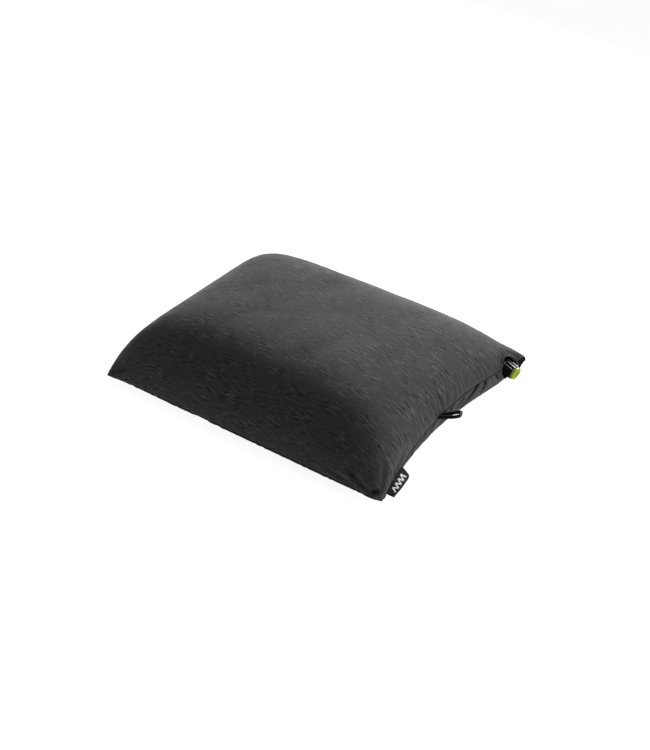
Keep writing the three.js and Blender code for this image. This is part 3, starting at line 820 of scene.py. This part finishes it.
def film_finish():
    """Coated ripstop: a satin film with a raised grid of thicker threads every few millimetres."""
    film = Finish("coated_fabric", coat_weight=0.25)
    grid = film.math("MAXIMUM", film.wave("Object", "X", 60), film.wave("Object", "Y", 60))
    threads = film.remap(grid, 0.93, 1.0)
    weave = film.noise("Object", 1800)
    film.give(base_color=film.tint(threads, grey(0.10, -0.03), grey(0.15, -0.03)))
    normal = film.bump(film.math("ADD", threads, weave), 0.08 * MM, 0.5)
    return film.give(roughness=film.remap(weave, 0.3, 0.7, 0.38, 0.55), normal=normal)


JERSEY = jersey_finish()
UNDERSIDE = underside_finish()
WEBBING = webbing_finish()
EAR_SHADE_CLOTH = ear_shade_finish()
LABEL_TAPE = label_finish()
THREAD = thread_finish("thread", grey(0.006), grey(0.02))
WHITE_THREAD = thread_finish("white_thread", grey(0.55), grey(0.8))
BLACK_PLASTIC = black_plastic_finish()
GREEN_PLASTIC = green_plastic_finish()
RUBBER = rubber_finish()
STEEL = steel_finish()
FOAM = foam_finish()
FILM = film_finish()

# ---- cover pieces


def build_panel(name, points, faces, maps, material, slot, node):
    """A sheet of the cover, thickened inwards."""
    points, faces, along, across, depth = without_loose_points(points, faces, *maps)
    panel = make_mesh(name, points, faces)
    set_map(panel, along, across)
    set_crease_shade(panel, depth)
    modifier = panel.modifiers.new("thickness", "SOLIDIFY")
    modifier.thickness = CLOTH
    modifier.offset = -1
    return finish_piece(panel, "root", material, slot, node)


# The faces beside the valve that get the near-black cloth as painted shade: how far beyond its axis and round
# it, and from how deep along it on the belly and on the crown.
EAR_SHADE_FROM = 3 * MM
EAR_SHADE_REACH = 34 * MM
EAR_SHADE_DEPTH = -1 * MM
LIP_DEPTH = 9.5 * MM


def shade_the_ear(panel, depth):
    """Gives the faces folded in beside the valve, from depth along its axis, a near-black cloth as painted
    shade.
    """
    panel.data.materials.append(EAR_SHADE_CLOTH)
    for face in panel.data.polygons:
        along, distance, _ = valve.measure(np.array(face.center))
        beyond = face.center.y - valve.origin[1]
        if along > depth and distance < EAR_SHADE_REACH and beyond > EAR_SHADE_FROM:
            face.material_index = 1


def build_cover():
    """The crown, the underside's main panel and its flap. Returns the grids and the port's edge."""
    u, v, top, bottom, (crown_shade, belly_shade) = shape_cover()
    rows, columns = u.shape
    index = np.arange(rows * columns).reshape(rows, columns)
    top_points, top_faces, top_edge = open_port(top.reshape(-1, 3), grid_faces(index))
    bottom_points, bottom_faces, bottom_edge = open_port(bottom.reshape(-1, 3), grid_faces(index, flip=True))
    maps = (*cloth_map(top), crown_shade)
    panel = build_panel("crown_panel", top_points, top_faces, maps, JERSEY, "jersey", "cover_top")
    shade_the_ear(panel, LIP_DEPTH)

    middles = u.ravel()[bottom_faces].mean(axis=1)
    main = bottom_faces[middles > PANEL_EDGE]
    maps = (*cloth_map(bottom), belly_shade)
    cloth = UNDERSIDE, "underside_cloth"
    panel = build_panel("main_panel", bottom_points, main, maps, *cloth, "underside_panel")
    shade_the_ear(panel, EAR_SHADE_DEPTH)
    lift = FLAP_LIFT * ease(u, *FLAP_STEP) * mix(0.5, 1, ease(1 - np.abs(v), 0, 0.08))
    raised = (bottom + normals_of(bottom) * lift[..., None]).reshape(-1, 3)
    under = bottom_faces[middles < FLAP_EDGE]
    build_panel("flap_panel", raised, under, maps, *cloth, "underside_flap")
    edge_points = np.concatenate([top_points[top_edge], bottom_points[bottom_edge]])
    return u, top, bottom, edge_points


u_grid, crown_grid, belly_grid, port_edge = build_cover()

# ---- the port's rolled edge

HEM_PROFILE = [
    (0.6, -1.6), (1.3, -0.9), (1.6, 0.1), (1.4, 1.1), (0.7, 1.8), (-0.2, 1.9), (-1, 1.4), (-1.4, 0.5),
    (-1.5, -0.8), (-1.6, -2.6), (-1.8, -5), (-1.2, -5.1), (-0.9, -2.8), (-0.6, -1.6),
]
HEM_TURNS = 5  # how many waves of the cover's edge the hem follows round the port
HEM_STEPS = 168


def edge_curve(angles, along):
    """A smooth closed line through the cut edge: how far out it lies, by its angle round the valve."""
    waves = np.arange(1, HEM_TURNS + 1)

    def terms(t):
        turns = np.outer(t, waves)
        return np.concatenate([np.ones((len(t), 1)), np.cos(turns), np.sin(turns)], 1)

    fit = np.linalg.lstsq(terms(angles), along, rcond=None)[0]
    return lambda t: terms(t) @ fit


def build_port_hem():
    """The cover's edge turned in on itself round the port, gathered on its elastic."""
    along, _, angles = valve.measure(port_edge)
    edge = edge_curve(angles, along)
    around = circle(HEM_STEPS)
    gather = 0.22 * MM * np.cos(23 * around + 1.5 * np.sin(3 * around))
    profile = np.array(HEM_PROFILE) * MM
    reach = PORT_R + profile[:, :1] + gather * ease(profile[:, 1:2], -5 * MM, 0)
    rings = valve.place(edge(around) + profile[:, 1:2], reach * np.cos(around), reach * np.sin(around))
    faces = ring_faces(len(profile), HEM_STEPS, closed_rows=True)
    hem = make_mesh("port_hem", rings, faces)
    set_map(hem, np.tile(profile[:, 1:2], HEM_STEPS), np.tile(around * PORT_R, (len(profile), 1)))
    modifier = hem.modifiers.new("rounder", "SUBSURF")
    modifier.levels = modifier.render_levels = 1
    finish_piece(hem, "root", JERSEY, "jersey", "port_binding")


build_port_hem()

# ---- valve pieces

RIBS = 14
RIB_STEPS = 16


def turned(name, profile, axes, segments, ribbed=False):
    """A turned body from [radius, place along the axis, rib depth], closed at the axis or onto itself."""
    profile = np.array(profile) * MM
    around = circle(segments)
    reach = np.repeat(profile[:, :1], segments, axis=1)
    if ribbed:
        groove = 1 - (0.5 + 0.5 * np.cos(RIBS * around)) ** 2.2
        reach = reach - profile[:, 2:3] * groove
    along = np.repeat(profile[:, 1:2], segments, axis=1)
    rings = axes.place(along, reach * np.cos(around), reach * np.sin(around))
    hollow = profile[0, 0] > 0.05 * MM
    faces = ring_faces(len(profile), segments, True) if hollow else tube_faces(len(profile), segments)
    body = make_mesh(name, rings, faces)
    set_map(body, along, np.tile(around * profile[:, 0].max(), (len(profile), 1)))
    return outwards(body)


def build_twist_collar():
    """A tapered grip with rounded ribs, and the plain spigot that the button slides over."""
    profile = [
        (7, 0.4, 0), (9.6, 0.4, 0), (10.1, 0.55, 0), (10.4, 1, 0), (10.4, 1.5, 0.25), (10.35, 2.1, 0.8),
        (10.3, 3, 1), (10, 5, 1.05), (9.75, 7, 1.05), (9.5, 9, 1.05), (9.3, 10.6, 1),
        (9.4, 13.5, 0.75), (9.45, 15.6, 0.6), (9.4, 16, 0.3), (9.25, 16.3, 0.1), (9, 16.4, 0),
        (8.72, 16.3, 0), (8.62, 16.1, 0), (8.6, 12.2, 0), (8.4, 12, 0), (7.4, 12, 0), (7.05, 12.1, 0),
        (7, 12.5, 0), (7, 15.5, 0), (6.85, 15.85, 0), (6.5, 16, 0), (4.6, 16, 0), (4.45, 15.8, 0),
        (4.45, 11.5, 0), (4.6, 11.3, 0), (6.8, 11.3, 0), (6.98, 11.1, 0), (6.98, 0.7, 0),
    ]
    collar = turned("twist_grip", profile, valve, RIBS * RIB_STEPS, ribbed=True)
    finish_piece(collar, "collar", BLACK_PLASTIC, "black_plastic", "twist_collar")


def build_release_button():
    """The lime cap: a rounded rim, a dished face with a raised target on it, and the boss for the stem."""
    profile = [
        (0.02, 19.45), (0.5, 19.45), (0.75, 19.35), (0.9, 19.2), (1.9, 19.2), (2.05, 19.35), (2.3, 19.5),
        (2.9, 19.5), (3.15, 19.35), (3.3, 19.2), (4.1, 19.25), (4.5, 19.45), (4.8, 19.75), (5.2, 19.93),
        (5.8, 20), (6.9, 20), (7.45, 19.9), (7.9, 19.65), (8.18, 19.25), (8.3, 18.7), (8.3, 14.7),
        (8.2, 14.42), (7.95, 14.3), (7.5, 14.3), (7.3, 14.5), (7.3, 18), (7, 18.3), (3, 18.3),
        (2.8, 18.1), (2.8, 13.7), (2.6, 13.5), (1.75, 13.5), (1.6, 13.65), (1.6, 17.3), (0.02, 17.3),
    ]
    button = turned("lime_button", profile, valve, 120)
    finish_piece(button, "button", GREEN_PLASTIC, "green_plastic", "release_button")


SPRING_R = 3.5 * MM
SPRING_WIRE = 0.35 * MM
SPRING_ENDS = (8.9 * MM, 17.8 * MM)
SPRING_TURNS = 5


def sweep(name, path, side, up, radius, segments):
    """A round bar along a path. side and up span its sections, and radius may vary all over it."""
    around = circle(segments)
    radius = np.broadcast_to(radius, (len(path), segments))[..., None]
    cosines, sines = np.cos(around)[None, :, None], np.sin(around)[None, :, None]
    rings = path[:, None] + radius * (cosines * side[:, None] + sines * up[:, None])
    return outwards(make_mesh(name, rings, tube_faces(len(path), segments)))


def build_return_spring():
    """A coil between the stem's guide and the button."""
    steps = 48 * SPRING_TURNS
    share = np.linspace(0, 1, steps + 1)
    turn = 2 * math.pi * SPRING_TURNS * share
    start, end = SPRING_ENDS
    along = mix(start + SPRING_WIRE, end - SPRING_WIRE, share)
    path = valve.place(along, SPRING_R * np.cos(turn), SPRING_R * np.sin(turn))
    outward = np.cos(turn)[:, None] * valve.side + np.sin(turn)[:, None] * valve.up
    ahead = np.tile(valve.out, (len(path), 1))
    spring = sweep("coil_spring", path, outward, ahead, SPRING_WIRE, 12)
    finish_piece(spring, "root", STEEL, "spring_steel", "return_spring")
    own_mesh(spring)


build_twist_collar()
build_release_button()
build_return_spring()

# ---- the hanging loop

CORD_R = 2.1 * MM
LOOP_LENGTH = 27 * MM
LOOP_HALF_WIDTH = 4.6 * MM
LOOP_TAIL = 2.5 * MM
CORD_STRANDS = 8
CORD_LAY = 9 * MM  # how far along the cord a strand goes once round

LOOP_SIDE = unit(np.array(joints["loop_swing"]["axis"]))
LOOP_RISE = math.radians(16)
loop_level = np.cross(LOOP_SIDE, (0, 0, 1))
loop_out = math.cos(LOOP_RISE) * loop_level + math.sin(LOOP_RISE) * np.array((0, 0, 1))
loop = Axes(joints["loop_swing"]["pos_m"], loop_out, LOOP_SIDE)


def smooth_path(points, steps):
    """A Catmull-Rom curve through points, with steps points to each stretch."""
    points = np.array(points, float)
    padded = np.concatenate([2 * points[:1] - points[1:2], points, 2 * points[-1:] - points[-2:-1]])
    pieces = []
    for number in range(len(points) - 1):
        before, start, end, after = padded[number : number + 4]
        t = np.linspace(0, 1, steps, endpoint=False)[:, None]
        bend = (2 * before - 5 * start + 4 * end - after) * t**2
        bend = bend + (3 * start - before - 3 * end + after) * t**3
        pieces.append((2 * start + (end - before) * t + bend) / 2)
    return np.concatenate([*pieces, points[-1:]])


def build_cord_loop():
    """A braided elastic cord doubled into a teardrop, its tails in the seam."""
    beside = CORD_R + 0.35 * MM
    length, half = LOOP_LENGTH, LOOP_HALF_WIDTH
    upper = [(-LOOP_TAIL, beside), (0, beside), (0.3 * length, 0.75 * half), (0.68 * length, half)]
    upper.append((0.9 * length, 0.86 * half))
    lower = [(along, -across) for along, across in reversed(upper)]
    flat = smooth_path([*upper, (length - CORD_R, 0), *lower], 26)
    # Its far end hangs a little under its own weight.
    droop = -0.8 * MM * ease(flat[:, 0], 0.4 * length, length)
    path = loop.place(flat[:, 0], flat[:, 1], droop)
    tangent = unit_rows(np.gradient(flat, axis=0))
    side = tangent[:, 1:] * loop.out - tangent[:, :1] * loop.side
    run = arc_lengths(path[:, None], 0)
    around = circle(48)
    twist = 2 * math.pi * run / CORD_LAY
    right = np.cos(CORD_STRANDS * (around + twist))
    left = np.cos(CORD_STRANDS * (around - twist))
    radius = CORD_R * (0.95 + 0.055 * np.maximum(right, left))
    cord = sweep("braided_loop", path, side, np.tile(loop.up, (len(path), 1)), radius, 48)
    finish_piece(cord, None, WEBBING, "webbing", "cord_loop")
    bend_from_seam(cord, loop, -1.5 * MM, 3.5 * MM)


build_cord_loop()

# ---- the side label

LABEL_LENGTH = 42 * MM
LABEL_REACH = 12 * MM
LABEL_TUCK = 1.5 * MM
LABEL_PLY = 0.55 * MM
LABEL_AIR = 0.5 * MM
LABEL_DROOP = math.radians(12)
LABEL_SAG = 5.5 * MM  # how far the upper end of its fold hangs below the lower end
LABEL_SKEW = 4.0 * MM

label_tangent = unit(np.array(joints["label_bend"]["axis"]))
level_out = unit(np.cross(label_tangent, (0, 0, 1)))
label_out = math.cos(LABEL_DROOP) * level_out + math.sin(LABEL_DROOP) * np.cross(label_tangent, level_out)
label = Axes(joints["label_bend"]["pos_m"], label_out, label_tangent)
label_face = np.cross(label_out, label_tangent)
label.up = label_face if label_face[2] > 0 else -label_face


def label_point(reach, length, height):
    """A place on the label: out from the seam, along it from the middle and above the fold's middle plane."""
    share = np.asarray(length) / (LABEL_LENGTH / 2)
    out = np.clip(np.asarray(reach) / LABEL_REACH, 0, 1)
    rounding = 1 + 0.12 * ease(share, -1, 0.7) - 0.13 * ease(-share, 0.2, 1)
    rounding = rounding - 0.12 * np.clip(share, 0, 1) ** 9
    bow = (0.5 * np.sin(2.4 * share + 0.4) + 0.25 * np.sin(6.1 * share)) * MM * out**1.5
    sag = -LABEL_SAG * out**1.2 * ease(share, -0.6, 1.1)
    skew = -LABEL_SKEW * out * ease(share, -1, 1)
    return label.place(reach * np.where(out > 0, rounding, 1), length + skew, height + bow + sag)


def build_side_label():
    """A woven tape folded in half, its raw ends tucked into the seam."""
    turn = np.linspace(-math.pi / 2, math.pi / 2, 9)
    outer_r, inner_r = LABEL_PLY + LABEL_AIR / 2, LABEL_AIR / 2
    centre = LABEL_REACH - outer_r
    straight = np.linspace(-LABEL_TUCK, centre, 14, endpoint=False)

    def strip(radius):
        low = np.stack([straight, np.full_like(straight, -radius)], 1)
        bend = np.stack([centre + radius * np.cos(turn), radius * np.sin(turn)], 1)
        return np.concatenate([low, bend, low[::-1] * (1, -1)])

    outer, inner = strip(outer_r), strip(inner_r)
    ring = np.concatenate([outer, inner[::-1]])
    lengths = np.linspace(-LABEL_LENGTH / 2, LABEL_LENGTH / 2, 61)
    points = label_point(ring[None, :, 0], lengths[:, None], ring[None, :, 1])
    faces = ring_faces(len(lengths), len(ring)).tolist()
    last = (len(lengths) - 1) * len(ring)
    for start in (0, last):
        for number in range(len(outer) - 1):
            mirror = len(ring) - 1 - number
            faces.append([start + number, start + number + 1, start + mirror - 1, start + mirror])
    tape = outwards(make_mesh("woven_label", points, faces))
    around = arc_lengths(points, 1)
    set_map(tape, np.repeat(lengths[:, None], len(ring), 1), around)
    return tape


MARK_TEETH = 4
MARK_SPAN = 29 * MM
MARK_SWING = 3.1 * MM
MARK_STROKE = 1.1 * MM
MARK_RAISE = 0.16 * MM


def build_label_mark():
    """A plain zigzag in raised white thread on each face of the label."""
    share = np.linspace(0, 1, 24 * MARK_TEETH + 1)
    teeth = 2 * np.abs(2 * ((share * MARK_TEETH) % 1) - 1) - 1
    reach = 0.52 * LABEL_REACH + MARK_SWING * teeth
    stroke = np.linspace(-MARK_STROKE, MARK_STROKE, 5)
    lengths = (share - 0.5)[:, None] * MARK_SPAN + stroke[None]
    dome = MARK_RAISE * (1 - (stroke / MARK_STROKE) ** 4)
    surface = LABEL_PLY + LABEL_AIR / 2
    rings, faces = [], []
    for number, side in enumerate((1, -1)):
        upper = label_point(reach[:, None], lengths, side * (surface + 0.02 * MM + dome[None]))
        lower = label_point(reach[:, None], lengths, side * (surface - 0.1 * MM) + 0 * dome[None])
        rings.append(np.concatenate([upper, lower[:, ::-1]], axis=1))
        rows, columns = rings[-1].shape[:2]
        faces += tube_faces(rows, columns, number * rows * columns)
    return outwards(make_mesh("label_zigzag", np.concatenate(rings), faces))


tape = finish_piece(build_side_label(), None, LABEL_TAPE, "webbing", "side_label")
mark = finish_piece(build_label_mark(), None, WHITE_THREAD, "thread")
for piece in (tape, mark):
    bend_from_seam(piece, label, -1.0 * MM, 2.5 * MM)

# ---- stitches

STITCH_R = 0.22 * MM
SEAM_STITCH = 1.9 * MM
SEAM_PITCH = 3.4 * MM


def stitches(name, starts, ends, rises):
    """Short arched threads from starts to ends, lifted in their middles by rises."""
    rings = segments = 6
    share = np.linspace(0, 1, rings)
    around = circle(segments)
    arch = np.sin(share * math.pi)[:, None]
    thick = STITCH_R * np.clip(0.35 + 1.3 * arch, 0, 1)[..., None]
    points, faces = [], []
    for start, end, rise in zip(starts, ends, rises):
        run = unit(end - start)
        lift = unit(rise)
        side = np.cross(run, lift)
        path = start + share[:, None] * (end - start) + arch * rise
        section = np.cos(around)[:, None] * side + np.sin(around)[:, None] * lift
        faces += tube_faces(rings, segments, len(points) * rings * segments)
        points.append(path[:, None] + thick * section[None])
    thread = outwards(make_mesh(name, np.concatenate(points), faces))
    return finish_piece(thread, "root", THREAD, "thread")


def around_seam(grid):
    """A grid's edge as one closed line of points."""
    return np.concatenate([grid[:-1, 0], grid[-1, :-1], grid[:0:-1, -1], grid[0, :0:-1]])


def evenly(line, values, pitch):
    """Values at even distances along a line."""
    run = np.concatenate([[0], np.cumsum(np.linalg.norm(np.diff(line, axis=0), axis=1))])
    at = np.arange(pitch / 2, run[-1], pitch)
    return [np.stack([np.interp(at, run, value[:, axis]) for axis in range(3)], 1) for value in values]


def build_seam_stitches():
    """The seam's thread, which shows in its groove as small bars from the crown to the belly."""
    line = around_seam(crown_grid)
    above = around_seam(normals_of(crown_grid))
    below = -around_seam(normals_of(belly_grid))
    line, above, below = evenly(line, [line, above, below], SEAM_PITCH)
    _, distance, _ = valve.measure(line)
    clear = (distance > PORT_R + 2 * MM) & (np.linalg.norm(line - loop.origin, axis=1) > 5 * MM)
    line, above, below = line[clear], above[clear], below[clear]
    out = unit_rows(above + below)
    across = unit_rows(above - below) * SEAM_STITCH / 2
    middle = line + 0.25 * MM * out
    stitches("seam_stitches", middle - across, middle + across, 0.2 * MM * out)


HEM_ROWS = (2 * MM, 7.5 * MM)
HEM_STITCH = 2.6 * MM
HEM_PITCH = 3.6 * MM


def build_hem_stitches():
    """Two rows of topstitching along the main panel's hemmed edge, round the belly and up both its sides."""
    row = int(np.searchsorted(u_grid[:, 0], PANEL_EDGE))
    outward = -normals_of(belly_grid)
    starts, ends, rises = [], [], []
    ahead = unit_rows(belly_grid[row + 6] - belly_grid[row])
    for offset in HEM_ROWS:
        line = (belly_grid[row] + ahead * offset)[2:-2]
        places, normal = evenly(line, [line, outward[row][2:-2]], HEM_PITCH)
        run = unit_rows(np.gradient(places, axis=0)) * HEM_STITCH / 2
        starts.append(places - run - normal * 0.1 * MM)
        ends.append(places + run - normal * 0.1 * MM)
        rises.append(normal * 0.18 * MM)
    stitches("hem_stitches", *(np.concatenate(part) for part in (starts, ends, rises)))


build_seam_stitches()
build_hem_stitches()

# ---- CAD parts that keep their shape

CAD_FINISHES = {
    FOAM: ("foam_topper",),
    FILM: ("cell_top_sheet", "cell_bottom_sheet", "baffle_front", "baffle_middle", "baffle_back"),
    BLACK_PLASTIC: ("valve_base", "valve_stem"),
    RUBBER: ("neck_seal_ring", "poppet_seal"),
    THREAD: ("loop_tack", "label_tack"),
}
for finish, names in CAD_FINISHES.items():
    for name in names:
        materials = frame["nodes"][name].data.materials
        materials.clear()
        materials.append(finish)

# ---- stage


def stand(name, data, place, target):
    """Stands a camera or a light at a place, looking at a target."""
    obj = bpy.data.objects.new(name, data)
    bpy.context.scene.collection.objects.link(obj)
    obj.location = place
    obj.rotation_euler = (Vector(target) - obj.location).to_track_quat("-Z", "Y").to_euler()
    return obj


LIGHT_TARGET = (0, 0, 0.05)
CAMERA_TARGET = (0.0318, -0.0175, 0.040)
CAMERA_AZIMUTH = math.radians(37.92)
CAMERA_ELEVATION = math.radians(34.57)
CAMERA_DISTANCE = 2.079
CAMERA_LENS = 81.24  # millimetres on a 36 mm sensor's long side


def build_camera():
    level = math.cos(CAMERA_ELEVATION)
    back = (math.sin(CAMERA_AZIMUTH) * level, -math.cos(CAMERA_AZIMUTH) * level, math.sin(CAMERA_ELEVATION))
    place = Vector(CAMERA_TARGET) + Vector(back) * CAMERA_DISTANCE
    camera = stand("camera", bpy.data.cameras.new("camera"), place, CAMERA_TARGET)
    camera.data.lens = CAMERA_LENS
    bpy.context.scene.camera = camera


def build_floor():
    """A pale studio floor with a little glow of its own, so that it stays near white in front."""
    reach = 60.0
    corners = [(-reach, -reach, 0), (reach, -reach, 0), (reach, reach, 0), (-reach, reach, 0)]
    floor = make_mesh("floor", corners, [(0, 1, 2, 3)])
    floor.location.z = -0.3 * MM
    pale = Finish("floor", roughness=0.9, emission_color=grey(1.0), emission_strength=0.92)
    pale.give(base_color=pale.tint(pale.noise("Object", 3), grey(0.3), grey(0.32)))
    # Seen from beneath it is clear, so that the underside shows too.
    behind = pale.add("ShaderNodeNewGeometry", {})["Backfacing"]
    clear = pale.add("ShaderNodeBsdfTransparent", {})[0]
    either = pale.add("ShaderNodeMixShader", {0: behind, 1: pale.shader.outputs[0], 2: clear})[0]
    pale.put(pale.tree.nodes["Material Output"], "Surface", either)
    pale.material.cycles.emission_sampling = "NONE"
    floor.data.materials.append(pale.material)
    floor.visible_glossy = False


def add_light(name, place, size, power):
    light = stand(name, bpy.data.lights.new(name, "AREA"), place, LIGHT_TARGET)
    light.data.shape = "DISK"
    light.data.size = size
    light.data.energy = power
    light.visible_camera = False


def build_world():
    """A faint even light, which the camera itself sees as a pale backdrop."""
    world = bpy.data.worlds.new("studio")
    world.use_nodes = True
    nodes, links = world.node_tree.nodes, world.node_tree.links
    seen = nodes.new("ShaderNodeMapRange")
    seen.inputs["To Min"].default_value = 0.05
    seen.inputs["To Max"].default_value = 0.93
    links.new(nodes.new("ShaderNodeLightPath").outputs["Is Camera Ray"], seen.inputs["Value"])
    links.new(seen.outputs[0], nodes["Background"].inputs["Strength"])
    nodes["Background"].inputs["Color"].default_value = grey(1.0)
    bpy.context.scene.world = world


def build_studio():
    build_world()
    add_light("key", (0.05, 0.9, 0.5), 0.5, 17.5)
    add_light("side", (1.6, 0.1, 0.55), 0.45, 21)
    add_light("left", (-1.6, -0.1, 0.5), 0.6, 8)
    bpy.context.scene.view_settings.view_transform = "Standard"
    build_floor()
    build_camera()


build_studio()
